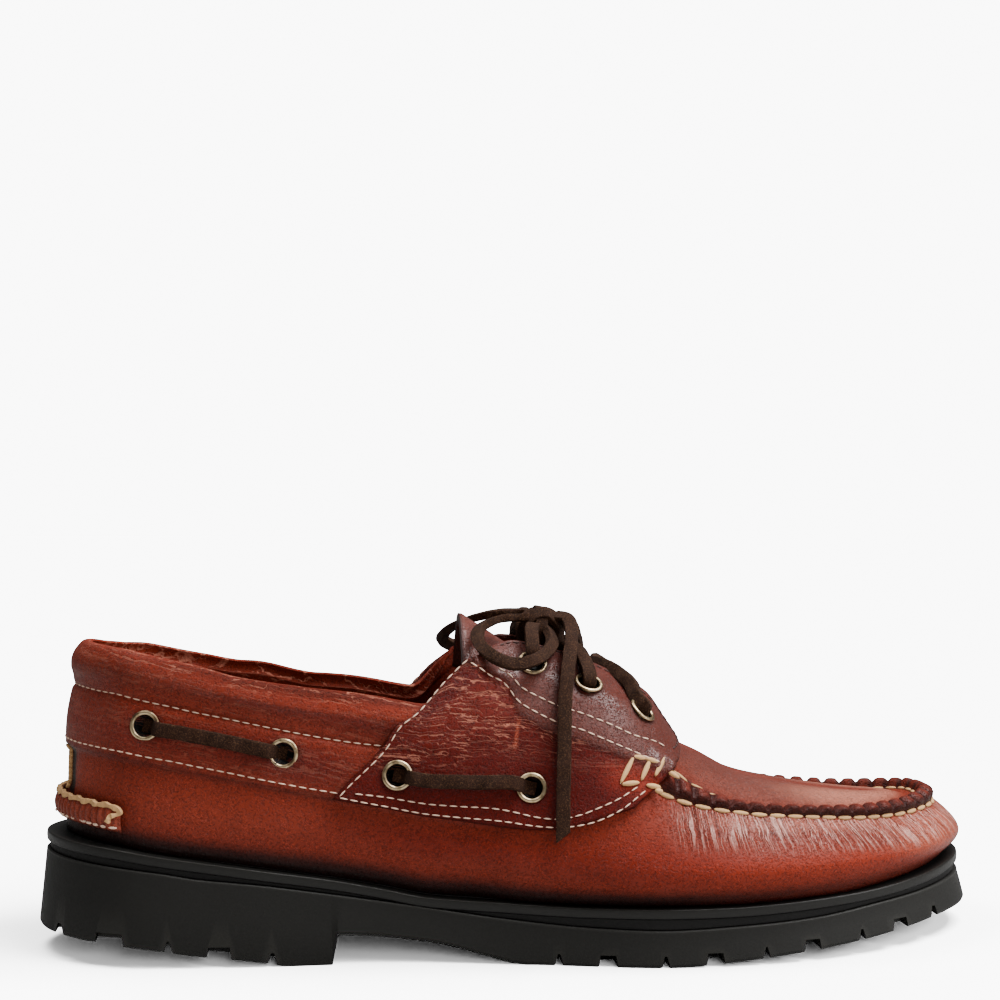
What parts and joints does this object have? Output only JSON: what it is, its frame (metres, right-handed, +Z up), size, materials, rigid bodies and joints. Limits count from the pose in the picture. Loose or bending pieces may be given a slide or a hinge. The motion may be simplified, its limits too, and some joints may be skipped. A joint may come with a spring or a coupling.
{
  "type": "boat shoe",
  "caption": "Leather boat shoe for the right foot, moccasin toe with a raised seam, side lacing through brass eyelets, rawhide bow and a lugged rubber sole.",
  "frame": {"origin": "on the floor under the middle of the shoe's plan", "axes": "+X from heel to toe, +Z up, -Y towards the outer side"},
  "size_m": [0.303, 0.105, 0.1047],
  "materials": {
    "rubber": "matt near-black rubber",
    "welt_rubber": "satin charcoal rubber with a polished edge",
    "leather": "oily pull-up leather, pebbled",
    "saddle_leather": "oily pull-up leather, deeper red",
    "lining": "smooth tan lining",
    "antique_brass": "antique brass, worn",
    "rawhide": "raw-edged rawhide lace"
  },
  "bodies": {
    "root": {"eyelet_inner_facing_1": "antique_brass", "eyelet_inner_facing_2": "antique_brass", "eyelet_inner_facing_3": "antique_brass", "eyelet_inner_side_1": "antique_brass", "eyelet_inner_side_2": "antique_brass", "eyelet_inner_side_3": "antique_brass", "eyelet_inner_side_4": "antique_brass", "eyelet_outer_facing_1": "antique_brass", "eyelet_outer_facing_2": "antique_brass", "eyelet_outer_facing_3": "antique_brass", "eyelet_outer_side_1": "antique_brass", "eyelet_outer_side_2": "antique_brass", "eyelet_outer_side_3": "antique_brass", "eyelet_outer_side_4": "antique_brass", "heel_kicker": "leather", "insole": "lining", "lace_bar": "rawhide", "lace_crossing": "rawhide", "lace_end_inner": "rawhide", "lace_end_outer": "rawhide", "lace_knot": "rawhide", "lace_loop_inner": "rawhide", "lace_loop_outer": "rawhide", "lace_riser_inner": "rawhide", "lace_riser_outer": "rawhide", "lace_side_inner_front": "rawhide", "lace_side_inner_rear": "rawhide", "lace_side_outer_front": "rawhide", "lace_side_outer_rear": "rawhide", "midsole": "rubber", "outsole": "rubber", "saddle_inner": "saddle_leather", "saddle_outer": "saddle_leather", "tongue": "leather", "upper": "leather", "welt": "welt_rubber"}
  },
  "joints": []
}
